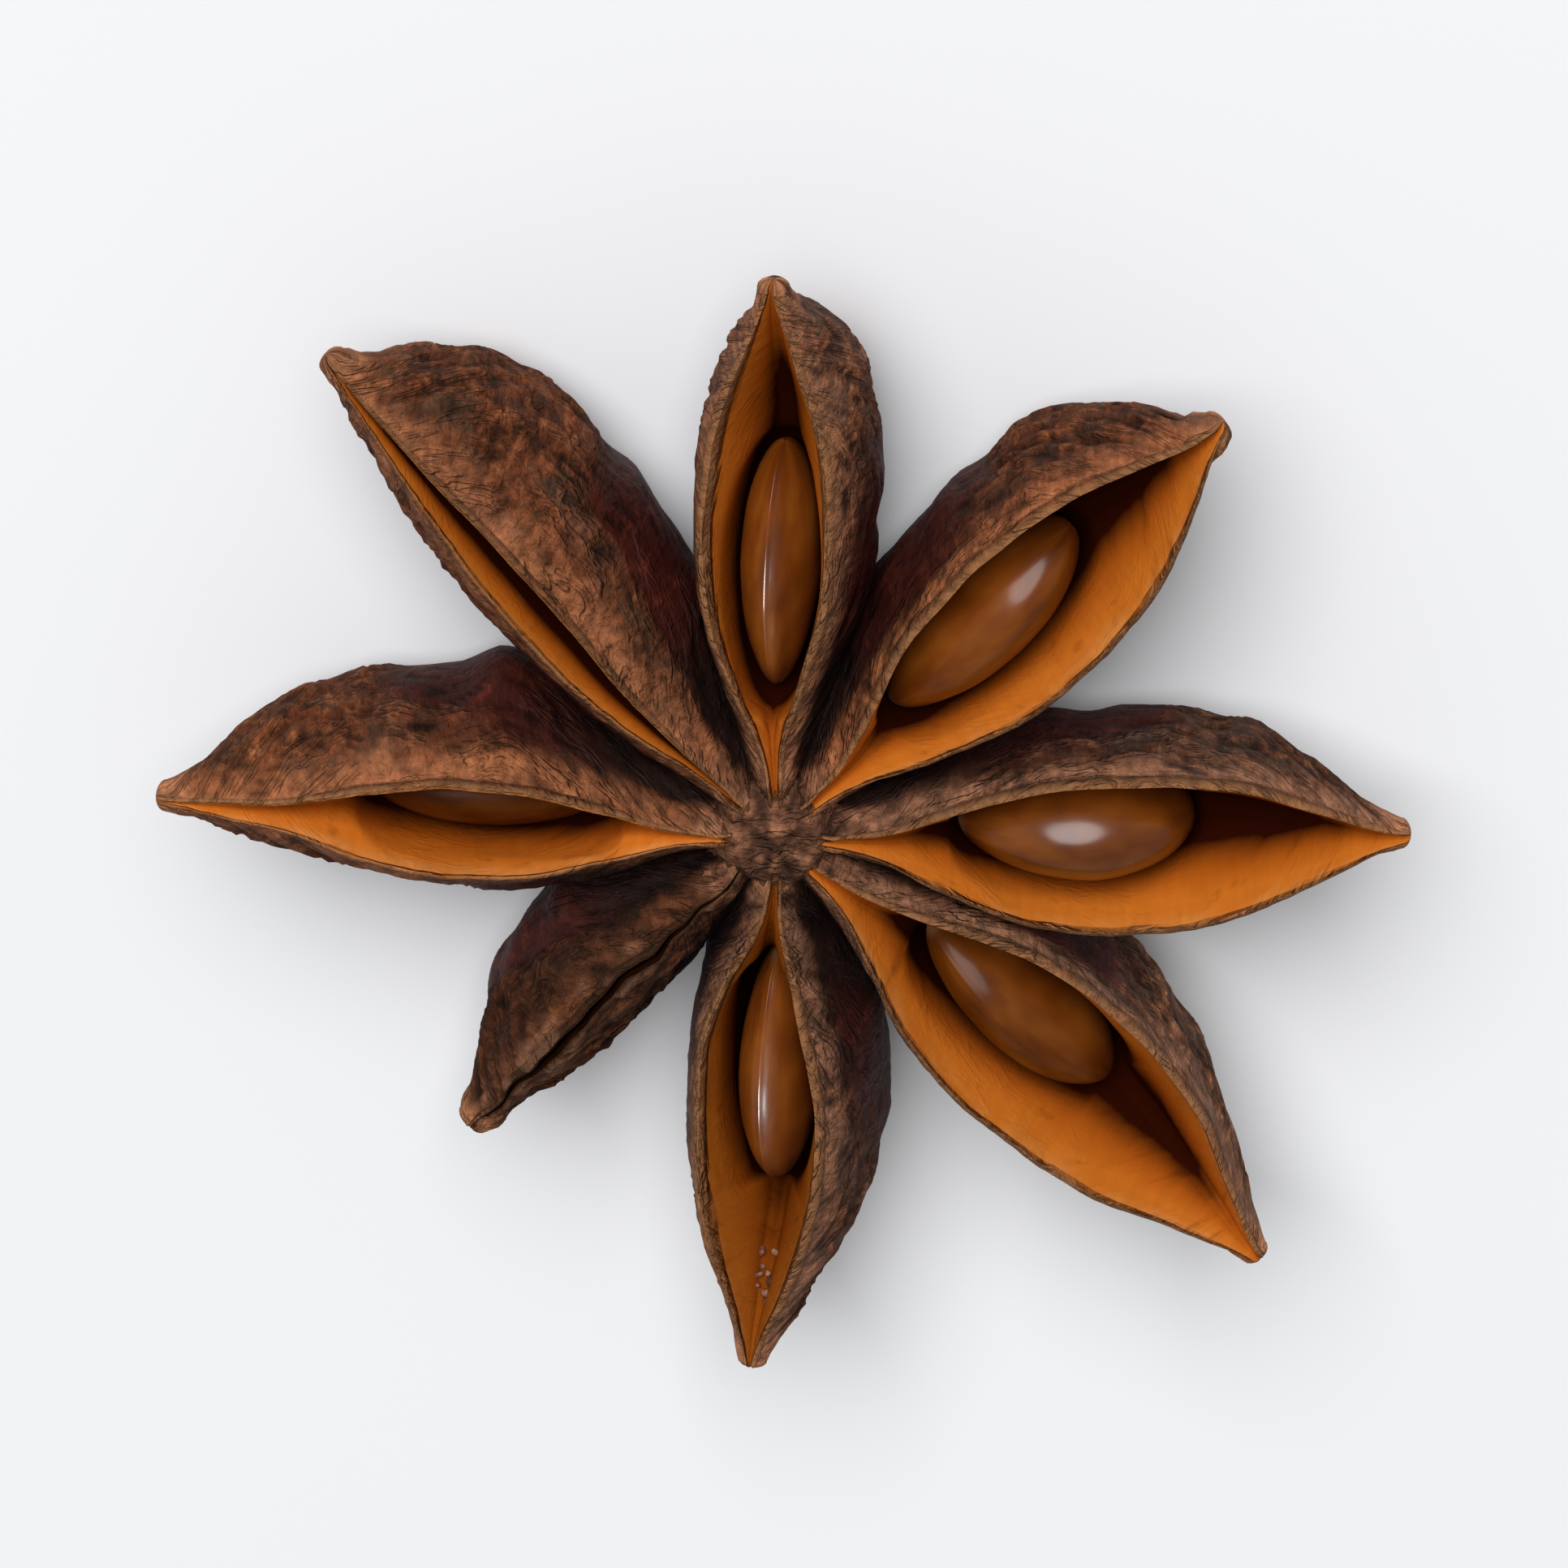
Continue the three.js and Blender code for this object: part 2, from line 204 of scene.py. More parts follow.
def through(values, share):
    """A smooth curve through evenly spaced values, at shares from 0 to 1 of its length."""
    values = np.asarray(values, float)
    last = len(values) - 1
    place = np.clip(share, 0, 1) * last
    i = np.minimum(place.astype(int), last - 1)
    t = place - i
    a, b, c, d = (values[np.clip(i + k, 0, last)] for k in (-1, 0, 1, 2))
    return b + 0.5 * t * (c - a + t * (2 * a - 5 * b + 4 * c - d + t * (3 * (b - c) + d - a)))


def bezier(a, b, c, d, t):
    s = 1 - t
    return s**3 * a + 3 * s * s * t * b + 3 * s * t * t * c + t**3 * d


def noise(*coordinates):
    """Gradient noise from about -1 to 1, smooth over steps of 1 in its three coordinates."""
    places = np.stack(np.broadcast_arrays(*coordinates), axis=-1).astype(float)
    cell = np.floor(places).astype(int)
    local = places - cell
    ease = local**3 * (local * (local * 6 - 15) + 10)
    total = 0
    for corner in itertools.product((0, 1), repeat=3):
        at = (cell + corner) % LATTICE
        pick = LATTICE_ORDER[at[..., 0]]
        pick = LATTICE_ORDER[(pick + at[..., 1]) % LATTICE]
        pick = LATTICE_ORDER[(pick + at[..., 2]) % LATTICE]
        slope = ((local - corner) * LATTICE_SLOPES[pick]).sum(-1)
        total = total + slope * np.prod(np.where(corner, ease, 1 - ease), axis=-1)
    return 1.7 * total


def layered_noise(a, b, c, octaves=3):
    """Noise with finer and fainter noise on it."""
    layers = [noise(a * 2**k, b * 2**k, c + 31.7 * k) / 2**k for k in range(octaves)]
    return sum(layers) / 1.6


def network(a, b, c):
    """Narrow crests that join into a network, from -1 to 1."""
    return 1 - 2.6 * np.abs(noise(a, b, c))


# ---- a follicle -----------------------------------------------------------------------------


def ring_radii(f):
    """The radii of a follicle's rings, closer together at the ends of its pocket."""
    half = (f.seed_length or SEEDLESS_LENGTH * f.reach) / 2 + SEED_GAP
    middle = f.seed_at or SEEDLESS_MIDDLE * f.reach
    turn = np.linspace(0, 1, POCKET_RINGS, endpoint=False)
    crowded = -0.55 * np.cos(math.pi * turn) + 0.45 * (2 * turn - 1)
    return np.concatenate([
        np.linspace(ROOT_RADIUS, middle - half, STEM_RINGS, endpoint=False),
        middle + half * crowded,
        np.linspace(middle + half, f.reach, BEAK_RINGS),
    ])[:, None]


def groove_depth(size, across):
    return size.groove * (1 - np.minimum(across / size.gape, 1) ** GROOVE_ROUNDNESS)


def section_sizes(f, radius):
    """The sizes of a follicle's cross-sections at an array of radii."""
    share = (radius - ROOT_RADIUS) / (f.reach - ROOT_RADIUS)
    openness = through(GAPE_SHARES, share) * (1 - f.shut * smoothstep(share, SHUT_FROM, SHUT_TO))
    size = SimpleNamespace(
        share=share,
        width=np.maximum(f.half_width * through(WIDTH_SHARES, share), TIP_HALF_WIDTH),
        depth=f.depth * through(DEPTH_SHARES, share),
        gape=f.gape * openness,
        lip=LIP * np.minimum(1, THIN_END + openness),
        groove=GROOVE_DEPTH * openness * min(1, THIN_END + f.gape / WIDE_GAPE),
    )
    size.drop = LIP_DROP * size.lip / LIP * lerp(NARROW_DROP, 1, smoothstep(f.gape, 0.5, 2.2))
    open_share = np.zeros_like(radius)
    if f.seed_at:
        along = (radius - f.seed_at) / (f.seed_length / 2 + SEED_GAP)
        open_share = np.sqrt(np.maximum(0, 1 - along * along))
    half_width = (SEED_HALF_WIDTH * f.girth * f.slim + SEED_GAP) * open_share
    softness = POCKET_SOFTNESS * np.minimum(1, size.gape)
    size.pocket = soft_min(half_width, POCKET_MOST * size.gape, softness)
    size.pocket = soft_max(size.pocket, POCKET_LEAST * size.gape, softness)
    pocket_edge = POCKET_EDGE * size.groove * open_share
    size.edge = soft_max(groove_depth(size, size.pocket), pocket_edge, softness)
    size.bulge = soft_max(half_width, size.pocket, softness)
    floor = SEED_DEPTH + f.sink + (SEED_HALF_HEIGHT * f.girth + SEED_GAP) * open_share
    plain_floor = np.maximum(size.groove, size.edge)
    size.floor = lerp(plain_floor, np.maximum(size.edge, floor), smoothstep(open_share, 0, 0.4))
    size.past_seed = (1 - smoothstep(open_share, 0, 0.45)) * (radius > (f.seed_at or 0))
    size.hump = f.hump * bump(radius - HUMP_RADIUS, HUMP_SPREAD)
    return size


def outside_points(size, across, radius, phase):
    down = 1 - np.abs(across)
    lip_edge = size.gape + size.lip
    shoulder = lip_edge + SHOULDER_SPREAD * (size.width - lip_edge)
    x = np.sign(across) * bezier(lip_edge, shoulder, BELLY_WIDTH * size.width, 0, down)
    z = -bezier(size.drop, SHOULDER_DROP * size.depth, BELLY_DROP * size.depth, size.depth, down)
    outward = np.hypot(x, z + size.depth / 2)
    waves = sum(height * np.sin(a * radius + b * across + c * phase) for height, a, b, c in WRINKLES)
    relief = RELIEF * smoothstep(down, RELIEF_NONE, RELIEF_FULL) * np.minimum(1, size.width) * waves
    rise = relief + size.hump * bump(across - HUMP_ACROSS, HUMP_THICKNESS)
    return x + rise * x / outward, z + rise * (z + size.depth / 2) / outward


def inside_points(size, across):
    down = (1 - np.abs(across)) ** INNER_CROWDING
    slope = np.minimum(2 * down, 1)
    turn = np.maximum(2 * down - 1, 0) * math.pi / 2
    flank_x = lerp(size.gape, size.pocket, slope**GROOVE_ROUNDNESS)
    flank_z = -size.edge * slope
    floor_x = size.bulge * np.cos(turn).clip(0) ** POCKET_SQUARENESS
    floor_z = -lerp(size.edge, size.floor, np.sin(turn))
    on_floor = down > 0.5
    return np.sign(across) * np.where(on_floor, floor_x, flank_x), np.where(on_floor, floor_z, flank_z)


def relaxed(values):
    """Evens out a grid of values, with its borders kept."""
    values = values.copy()
    for _ in range(RELAXING_ROUNDS):
        around = values[:-2, 1:-1] + values[2:, 1:-1] + values[1:-1, :-2] + values[1:-1, 2:]
        values[1:-1, 1:-1] = lerp(values[1:-1, 1:-1], around / 4, 0.5)
    return values


def lip_points(size, side):
    """The lip's slope up to its inner edge, slightly rounded, without the edges."""
    turn = math.pi / 2 * (1 - np.arange(1, LIP_STEPS) / LIP_STEPS)
    return side * (size.gape + size.lip * np.sin(turn)), -size.drop * (1 - np.cos(turn))


def section_normals(x, z):
    step_x = np.roll(x, -1, axis=1) - np.roll(x, 1, axis=1)
    step_z = np.roll(z, -1, axis=1) - np.roll(z, 1, axis=1)
    length = np.hypot(step_x, step_z) + 1e-9
    return step_z / length, -step_x / length


def husk_relief(number, radius, arc):
    """The husk's own relief in mm, and how far each place is a crest rather than a crack."""
    lean = radius + 0.6 * np.abs(arc)
    layer = 7.3 * number
    warp = 0.6 * noise(radius / 1.5, arc / 1.2, layer)
    lumps = layered_noise(lean / 1.9, arc / 1.1 + warp, layer + 50)
    folds = network(lean / 1.9 + warp, arc / 0.75, layer + 90)
    veins = network(lean / 0.85 + warp, arc / 0.5 + warp, layer + 140)
    height = 0.1 * lumps + 0.09 * folds + 0.08 * veins
    crest = 0.5 + 0.18 * lumps + 0.18 * folds + 0.26 * veins
    return height, np.clip(crest, 0, 1)


def neighbour_share(number, radius, sideways):
    """How far a place lies from its follicle's middle towards the planes midway to the next."""
    azimuths = [f.azimuth for f in FOLLICLES]
    ahead = (azimuths[(number + 1) % len(azimuths)] - azimuths[number]) % 360 / 2
    behind = (azimuths[number] - azimuths[number - 1]) % 360 / 2
    angle = np.degrees(np.arctan2(sideways, radius))
    return np.where(angle > 0, angle / ahead, -angle / behind)


def husk_rings(number, f):
    """A follicle's rings of points, with the looks of each point."""
    radius = ring_radii(f)
    size = section_sizes(f, radius)
    outer = np.linspace(-1, 1, OUTER_STEPS + 1)
    inner = np.linspace(1, -1, INNER_STEPS + 1)
    runs = [
        outside_points(size, outer, radius, PHASE_STEP * number),
        lip_points(size, 1),
        [relaxed(values) for values in inside_points(size, inner)],
        [values[:, ::-1] for values in lip_points(size, -1)],
    ]
    x = np.concatenate([run[0] for run in runs], axis=1)
    z = np.concatenate([run[1] for run in runs], axis=1)
    counts = [run[0].shape[1] for run in runs]
    starts = np.cumsum([0, *counts])
    kind = np.concatenate([np.full(n, k) for k, n in enumerate(counts)])[None, :]
    is_outside = (kind == 0).astype(float)
    is_inside = (kind == 2).astype(float)
    is_lip = 1 - is_outside - is_inside

    steps = np.hypot(np.diff(x, axis=1), np.diff(z, axis=1))
    length = np.concatenate([np.zeros_like(radius), np.cumsum(steps, axis=1)], axis=1)
    from_keel = length - length[:, OUTER_STEPS // 2][:, None]
    from_floor = length - length[:, starts[2] + INNER_STEPS // 2][:, None]
    wall = length[:, OUTER_STEPS][:, None] / 2
    from_lip = is_outside * np.maximum(wall - np.abs(from_keel), 0)
    inner_wall = (length[:, starts[3] - 1] - length[:, starts[2]])[:, None] / 2
    from_rim = is_inside * np.maximum(inner_wall - np.abs(from_floor), 0)
    side = np.sign(x + 1e-9)
    to_rim = np.minimum(np.abs(length - length[:, starts[2]][:, None]),
                        np.abs(length - length[:, starts[3] - 1][:, None]))
    arc = np.where(is_inside > 0, wall + LIP + from_rim, np.where(is_lip > 0, wall, np.abs(from_keel)))
    arc = arc + is_lip * (LIP - to_rim)
    share_round = np.where(is_inside > 0, from_floor / inner_wall, from_keel / wall).clip(-1, 1)

    along_lip = noise(radius / 1.9, side * 3.3, 11 * number + 5) * np.minimum(1, size.gape)
    torn = noise(radius / 0.45, side * 5.1 + to_rim / 0.4, 13 * number + 3)
    near_lip = np.where(is_inside > 0, bump(from_rim, 0.8), bump(from_lip, 0.5))
    x = x + (0.08 * along_lip + 0.022 * torn) * side * near_lip
    z = z + (0.06 * noise(radius / 2.3, side * 7.7, 5 * number) + 0.02 * torn) * near_lip

    x = x + f.crust * 0.2 * noise(radius / 1.2, 4.2, 8.8) * np.where(kind == 0, bump(from_lip, 0.6), 1)

    relief, crest = husk_relief(number, radius, from_keel)
    turned = rolled(x, z, f, size.share)
    sideways = -turned[0] - line_offset(f, size.share)[0]
    # Painted shade where a follicle lies near its neighbours.
    close = smoothstep(neighbour_share(number, radius, sideways), 0.4, 0.75)
    face = FACE_START + FACE_WIDENING * (radius - 3)
    past_face = from_lip - face + 0.2 * noise(radius / 1.1, number, 3)
    below_face = smoothstep(past_face, -0.12, 0.12)
    # This mask is partly the follicle's own dark red flank and partly painted shade, near its neighbours and below
    # the face.
    flank = is_outside * np.maximum(close, below_face) * smoothstep(from_lip, 0.2, 1.0)
    flank = flank * (1 - smoothstep(radius, 10.5, 13))
    keel_share = is_outside * bump(from_keel, 0.26) * smoothstep(size.share, 0.3, 0.5)
    beads = 0.5 + 0.5 * np.sin(2 * math.pi * (radius + 0.25 * noise(radius / 1.1, number, 2)) / 0.62)
    height = f.rough * relief * smoothstep(from_lip, 0.1, 1.2) * np.minimum(1, size.width / 1.2)
    height = is_outside * height * (1 - 0.75 * flank)
    height = height + keel_share * (0.08 + 0.08 * beads)
    fold = bump(past_face + 0.1, 0.3) - 0.9 * bump(past_face - 0.6, 0.4)
    creased = smoothstep(radius, 2.5, 5) * (1 - smoothstep(radius, 11, 13.5)) * f.crease
    height = height + is_outside * (x < 0) * FOLD * fold * creased
    scab = layered_noise(radius / 1.1, from_lip / 0.5 + side * 0.2, 4.4)
    scab = f.crust * smoothstep(scab, -0.05, 0.35) * bump(from_lip, 0.45) * (1 - is_inside)
    height = height + 0.16 * scab
    height = height + is_outside * f.knob * bump(radius - f.reach + 0.3, 0.4)
    height = height + is_inside * 0.02 * noise(radius / 1.6, from_floor / 1.1, 9 * number)
    normal_x, normal_z = section_normals(x, z)
    x = x + height * normal_x
    z = z + height * normal_z

    nub = (0.2 + 0.1 * noise(number, 3.1, 0.7)) * bump(radius - 1.7, 0.4)
    nub = nub * np.maximum(is_lip, bump(from_lip, 0.5) * is_outside)
    z = z + nub
    hem = f.hem * np.minimum(1, size.gape / 1.4)
    rim = (1 - smoothstep(to_rim, 0.05, 0.36 + hem)) * min(1, f.gape)
    # How deep the inside's painted light reaches before painted shade, further past the seed.
    bright_depth = f.clear * np.minimum(0.25 + 1.7 * size.gape, 0.9 + 0.75 * size.gape)
    bright_depth = bright_depth * lerp(1, f.beak, size.past_seed)
    looks = {
        "inside": is_inside * smoothstep(from_rim, hem - 0.05, hem + 0.05),
        "depth_inside": is_inside * np.minimum(from_rim / bright_depth, 1.5),
        "rim": rim,
        "flank": flank,
        "keel": keel_share * (0.5 + 0.5 * beads) + 0.8 * scab,
        "tip": smoothstep(radius, f.reach - 0.9, f.reach - 0.1),
        "hub": (1 - smoothstep(radius, 1.9, 3.2)) * (1 - smoothstep(from_lip, 0.3, 0.9)),
        # Painted shade, near black, low on the outside near the hub, between the follicles.
        "valley": is_outside * (1 - smoothstep(radius, 4.5, 8)) * smoothstep(from_lip, 0.3, 0.9),
        "crest": np.where(is_outside > 0, crest, 0.5),
        "near_lip": is_outside * bump(from_lip, 0.85),
        "pale_lip": np.full_like(x, 1 - 0.7 * f.crust),
        "along": radius,
        "reach": radius,
        "across": arc,
        "layer": LAYER_STEP * number + LAYER_SPREAD * share_round,
        # Painted light and shade: one brightness for each follicle's inside and one for its outside.
        "glow": np.full_like(x, f.glow),
        "warmth": np.full_like(x, f.warmth),
        "light": np.full_like(x, f.light),
    }
    looks = {name: np.broadcast_to(values, x.shape) for name, values in looks.items()}
    x, z = rolled(x, z, f, size.share)
    offset_x, offset_z = line_offset(f, size.share)
    points = np.stack([np.broadcast_to(radius, x.shape), -x - offset_x, z + offset_z], axis=-1)
    return points, looks


def rolled(x, z, f, share):
    """Turns sections about the seed's middle, by more and more of the follicle's roll."""
    angle = math.radians(f.roll) * smoothstep(share, 0, ROLLED_FROM)
    up = z + SEED_DEPTH
    return x * np.cos(angle) - up * np.sin(angle), x * np.sin(angle) + up * np.cos(angle) - SEED_DEPTH


def line_offset(f, share):
    return -f.sway * np.sin(math.pi * share), f.lift * share * share


def with_knob(points, looks):
    """Adds the rings that round off a follicle's tip."""
    last = points[-1]
    middle = last.mean(axis=0)
    rings = [points]
    for turn in np.arange(1, KNOB_RINGS + 1) * math.pi / 2 / (KNOB_RINGS + 1):
        ring = middle + (last - middle) * math.cos(turn)
        ring[:, 0] = last[:, 0] + KNOB_LENGTH * math.sin(turn)
        rings.append(ring[None])
    looks = {name: np.concatenate([values, np.repeat(values[-1:], KNOB_RINGS, axis=0)])
             for name, values in looks.items()}
    return np.concatenate(rings), looks


def loft_faces(rows, count):
    """Triangles between rings of points and in a fan over each end, for two last points."""
    i = np.arange(count)
    after = (i + 1) % count
    first = (np.arange(rows - 1) * count)[:, None]
    a, b = (first + i).ravel(), (first + after).ravel()
    sides = np.concatenate([np.stack([a, a + count, b], 1), np.stack([b, a + count, b + count], 1)])
    last = (rows - 1) * count
    start = np.stack([i, after, np.full(count, rows * count)], 1)
    end = np.stack([last + after, last + i, np.full(count, rows * count + 1)], 1)
    return np.concatenate([sides, start, end])


def turned_about_axis(points, degrees):
    angle = math.radians(degrees)
    x, y, z = points.T
    return np.stack([x * math.cos(angle) - y * math.sin(angle),
                     x * math.sin(angle) + y * math.cos(angle), z], axis=1)


def follicle_mesh(number, f):
    points, looks = with_knob(*husk_rings(number, f))
    rows, count = points.shape[:2]
    start = points[0].mean(axis=0)
    end = points[-1].mean(axis=0)
    end[0] = f.reach + KNOB_LENGTH
    flat = np.concatenate([points.reshape(-1, 3), [start, end]])
    flat = turned_about_axis(flat, f.azimuth)
    flat[:, 2] = np.maximum(flat[:, 2], -SEAM_HEIGHT)
    looks = {name: np.concatenate([values.ravel(), values[0, :1], values[-1, :1]])
             for name, values in looks.items()}
    return flat, loft_faces(rows, count), looks


# ---- the column -----------------------------------------------------------------------------


SCAR_PLACE = (0.05, 0.55)
SCAR_RADIUS = 0.22


def column_mesh():
    """The column with its low crown: uneven wedges with faint lines between, and a small scar."""
    share = np.linspace(0, 1, COLUMN_ROWS + 2)[1:-1, None]
    reach = through([p[0] for p in COLUMN_OUTLINE], share)
    height = through([p[1] for p in COLUMN_OUTLINE], share)
    turn = np.linspace(0, 2 * math.pi, COLUMN_SIDES, endpoint=False)[None, :]
    top = smoothstep(share, 0.78, 0.84)
    azimuths = np.array([f.azimuth for f in FOLLICLES])
    bounds = np.radians((azimuths + np.append(azimuths[1:], azimuths[0] + 360)) / 2)
    gaps = (turn[..., None] - bounds + math.pi) % (2 * math.pi) - math.pi
    line = np.abs(gaps).min(axis=-1) * reach
    x, y = reach * np.cos(turn), reach * np.sin(turn)
    lumps = layered_noise(x / 0.75, y / 0.75, height + 3)
    from_scar = np.hypot(x - SCAR_PLACE[0], 1.5 * (y - SCAR_PLACE[1]))
    scar = bump(from_scar - SCAR_RADIUS, 0.1)
    grains = layered_noise(x / 0.35, y / 0.35, height + 9)
    carved = 0.12 * lumps + 0.05 * grains + 0.08 * scar
    carved = carved - 0.05 * bump(line, 0.14) * smoothstep(reach, 0.5, 1.1)
    z = height + top * carved
    uneven = layered_noise(2.2 * np.cos(turn), 2.2 * np.sin(turn), height / 1.5 + 8)
    outward = 1 + 0.07 * smoothstep(reach, 0.6, 1.2) * uneven
    points = np.stack([x * outward, y * outward, z], axis=-1)
    ends = np.array([[0, 0, COLUMN_OUTLINE[0][1]], [0, 0, points[-1, :, 2].mean()]])
    flat = np.concatenate([points.reshape(-1, 3), ends])
    # For the painted shade and light: darker in the lines between the wedges, lighter on lumps, grains and the scar.
    crest = 0.5 + 0.2 * lumps + 0.25 * grains - 0.2 * bump(line, 0.12) + 0.5 * scar
    crest = np.clip(crest, 0, 1)
    blank = np.zeros_like(x)
    looks = {name: blank for name in
             ("inside", "depth_inside", "rim", "flank", "valley", "keel", "tip", "near_lip")}
    looks |= {
        "hub": blank + 1, "crest": crest, "along": x, "across": y, "reach": reach + blank,
        "layer": blank + height - LAYER_STEP,
        "glow": blank + 1, "warmth": blank + 0.5, "light": blank + 1, "pale_lip": blank,
    }
    looks = {name: np.append(values.ravel(), [values[0, 0], values[-1, 0]])
             for name, values in looks.items()}
    rows = COLUMN_ROWS
    faces = loft_faces(rows, COLUMN_SIDES)
    return flat, faces[:, ::-1], looks


# ---- meshes ---------------------------------------------------------------------------------


def add_object(name, points, faces):
    mesh = bpy.data.meshes.new(name)
    mesh.from_pydata(np.asarray(points).tolist(), [], np.asarray(faces).tolist())
    mesh.update()
    thing = bpy.data.objects.new(name, mesh)
    bpy.context.scene.collection.objects.link(thing)
    return thing


def set_looks(mesh, looks):
    """Stores each look as a number on every point, for the materials."""
    for name, values in looks.items():
        layer = mesh.attributes.new(name, "FLOAT", "POINT")
        layer.data.foreach_set("value", np.ascontiguousarray(values, dtype=np.float32))


def mesh_points(mesh):
    flat = np.empty(len(mesh.vertices) * 3)
    mesh.vertices.foreach_get("co", flat)
    return flat.reshape(-1, 3)


def into_frame(thing, offset):
    """Moves a mesh from its own millimetres to the frame's metres."""
    places = (mesh_points(thing.data) + offset) / 1000
    thing.data.vertices.foreach_set("co", places.ravel())
    thing.data.update()


def united(name, parts):
    """One closed mesh from overlapping ones, with the looks of the nearest point of each."""
    things = [add_object(f"{name}_{i}", points, faces) for i, (points, faces, _) in enumerate(parts)]
    base = things[0]
    others = bpy.data.collections.new("others")
    bpy.context.scene.collection.children.link(others)
    for thing in things[1:]:
        bpy.context.scene.collection.objects.unlink(thing)
        others.objects.link(thing)
    union = base.modifiers.new("union", "BOOLEAN")
    union.operation = "UNION"
    union.operand_type = "COLLECTION"
    union.collection = others
    union.solver = "MANIFOLD"
    depsgraph = bpy.context.evaluated_depsgraph_get()
    mesh = bpy.data.meshes.new_from_object(base.evaluated_get(depsgraph))
    for thing in things:
        bpy.data.objects.remove(thing)
    bpy.data.collections.remove(others)
    keep_largest(mesh)
    whole = bpy.data.objects.new(name, mesh)
    mesh.name = name
    bpy.context.scene.collection.objects.link(whole)
    copy_looks(mesh, parts)
    return whole


def keep_largest(mesh):
    """Drops loose scraps and fills sealed hollows: only the outer skin stays."""
    work = bmesh.new()
    work.from_mesh(mesh)
    bmesh.ops.triangulate(work, faces=work.faces[:])
    unseen = set(work.verts)
    groups = []
    while unseen:
        group = [unseen.pop()]
        for vertex in group:
            around = {edge.other_vert(vertex) for edge in vertex.link_edges} & unseen
            unseen -= around
            group.extend(around)
        groups.append(group)
    groups.sort(key=len)
    for group in groups[:-1]:
        bmesh.ops.delete(work, geom=group, context="VERTS")
    work.to_mesh(mesh)
    work.free()


def copy_looks(mesh, parts):
    places = np.concatenate([points for points, _, _ in parts])
    tree = KDTree(len(places))
    for i, place in enumerate(places.tolist()):
        tree.insert(place, i)
    tree.balance()
    nearest = np.array([tree.find(place)[1] for place in mesh_points(mesh).tolist()])
    names = parts[0][2]
    set_looks(mesh, {name: np.concatenate([looks[name] for _, _, looks in parts])[nearest]
                     for name in names})


# ---- a seed ---------------------------------------------------------------------------------

SEED_EDGE = 0.6  # below 0.5 is a rounder edge than an oval's, above it a sharper one
SEED_RIDGE = 0.05
SEED_RIDGE_SPREAD = 0.1


def seed_mesh(number, f):
    """A flat oval on its edge, with a scar at the hub end and on some a line along the edge."""
    polar = np.linspace(0, math.pi, SEED_ROWS + 2)[1:-1, None]
    turn = np.linspace(0, 2 * math.pi, SEED_SIDES, endpoint=False)[None, :]
    along = -np.cos(polar) + 0 * turn
    girth = f.girth * (1 + SEED_TAPER * (along - along * along))
    up = np.sin(turn)
    aside = np.sign(np.cos(turn)) * np.abs(np.cos(turn)) ** (2 * SEED_EDGE)
    uneven = 0.035 * layered_noise(along * 1.6 + 9 * number, up * 1.1, aside * 1.1 + 4, 2)
    ridge = f.line * SEED_RIDGE * bump(np.cos(turn), SEED_RIDGE_SPREAD) * np.sin(polar) ** 0.5
    swell = np.sin(polar) * (1 + uneven)
    y = aside * swell * SEED_HALF_WIDTH * f.slim * girth
    z = up * (swell * SEED_HALF_HEIGHT * girth + ridge)
    x = along * f.seed_length / 2 * (1 + 0.3 * uneven)
    points = np.stack([x, y, z], axis=-1).reshape(-1, 3)
    ends = np.array([[-f.seed_length / 2, 0, 0], [f.seed_length / 2, 0, 0]])
    points = np.concatenate([points, ends])
    looks = {
        "along": along, "up": up + 0 * along, "aside": aside + 0 * along,
        "scar": bump(along + 1, 0.045) * np.ones_like(up),
        "number": np.full_like(along, number), "amber": np.full_like(along, f.amber),
    }
    looks = {name: np.append(values.ravel(), [values[0, 0], values[-1, 0]])
             for name, values in looks.items()}
    return place_seed(points, f), loft_faces(SEED_ROWS, SEED_SIDES)[:, ::-1], looks


def place_seed(points, f):
    share = np.array((f.seed_at - ROOT_RADIUS) / (f.reach - ROOT_RADIUS))
    offset_x, offset_z = line_offset(f, share)
    angle = math.radians(-f.roll)
    x, y, z = points.T
    z = z - f.sink
    tilted = np.stack([
        x + f.seed_at,
        y * math.cos(angle) - z * math.sin(angle) - offset_x,
        y * math.sin(angle) + z * math.cos(angle) + offset_z - SEED_DEPTH,
    ], axis=1)
    return turned_about_axis(tilted, f.azimuth)


# ---- crumbs ---------------------------------------------------------------------------------

CRUMBS = 11
CRUMB_SIDES = 8
CRUMB_ROWS = 5


def crumb_points(size, draw):
    polar = np.linspace(0, math.pi, CRUMB_ROWS + 2)[1:-1, None]
    turn = np.linspace(0, 2 * math.pi, CRUMB_SIDES, endpoint=False)[None, :]
    stretch = draw.uniform(0.6, 1.25, 3)
    lump = 1 + draw.uniform(-0.25, 0.25, (CRUMB_ROWS, CRUMB_SIDES))
    x = -np.cos(polar) * lump * stretch[0]
    y = np.sin(polar) * np.cos(turn) * lump * stretch[1]
    z = np.sin(polar) * np.sin(turn) * lump * stretch[2]
    points = np.stack([x, y, z], axis=-1).reshape(-1, 3)
    ends = np.array([[-stretch[0], 0, 0], [stretch[0], 0, 0]])
    return size * np.concatenate([points, ends])


def groove_place(f, radius, aside):
    """A place on a groove's floor, in the follicle's own line."""
    at = np.array([[radius]])
    size = section_sizes(f, at)
    x, z = inside_points(size, np.array([[aside]]))
    x, z = rolled(x, z, f, size.share)
    offset_x, offset_z = line_offset(f, size.share)
    return np.array([radius, float((-x - offset_x)[0, 0]), float((z + offset_z)[0, 0])])


